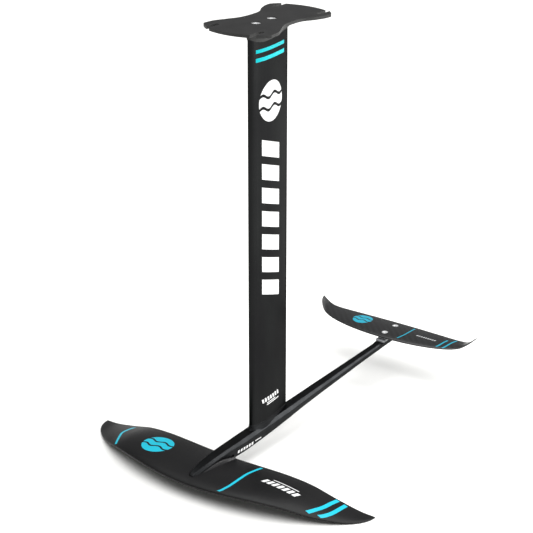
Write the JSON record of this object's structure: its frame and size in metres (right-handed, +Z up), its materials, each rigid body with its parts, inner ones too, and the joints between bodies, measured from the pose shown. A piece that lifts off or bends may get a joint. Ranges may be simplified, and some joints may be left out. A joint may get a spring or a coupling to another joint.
{
  "type": "hydrofoil mast and wings",
  "caption": "Hydrofoil for a foil board: a board plate on a streamlined mast, with a slim fuselage, a drooping front wing and a stabiliser with upturned tips.",
  "frame": {"origin": "centre of the four board slots, on the face of the plate that meets the board", "axes": "+X along the wings, +Y aft along the fuselage, +Z up out of the plate to the board"},
  "size_m": [0.592, 0.6809, 0.7819],
  "materials": {
    "plate_anodised": "dark grey anodised, satin",
    "mast_anodised": "black anodised extrusion, satin",
    "fuselage_anodised": "black anodised, satin",
    "stainless_screw": "turned stainless steel",
    "bushing_steel": "turned stainless steel",
    "thread_insert": "stainless steel thread insert",
    "insert_block": "machined aluminium",
    "gasket_rubber": "matte",
    "plug_foam": "closed-cell foam, matte",
    "front_laminate": "black composite laminate, satin",
    "stabiliser_laminate": "dark grey composite laminate, satin gloss",
    "foam_core": "structural foam",
    "laminate_block": "solid glass laminate",
    "shim_plastic": "moulded plastic, satin"
  },
  "bodies": {
    "root": {"mast_plate": "plate_anodised", "plate_screws": "stainless_screw", "mast_head_gasket": "gasket_rubber", "mast": "mast_anodised", "mast_head_insert": "insert_block", "mast_foot_insert": "insert_block", "mast_plugs": "plug_foam", "mast_foot_gasket": "gasket_rubber", "fuselage": "fuselage_anodised", "fuselage_screws": "stainless_screw", "nose_thread_inserts": "thread_insert", "tail_thread_inserts": "thread_insert", "front_wing": "front_laminate", "front_wing_cores": "foam_core", "front_wing_block": "laminate_block", "front_wing_bushings": "bushing_steel", "front_wing_screws": "stainless_screw", "stabiliser": "stabiliser_laminate", "stabiliser_cores": "foam_core", "stabiliser_shim": "shim_plastic", "stabiliser_screws": "stainless_screw"}
  },
  "joints": []
}
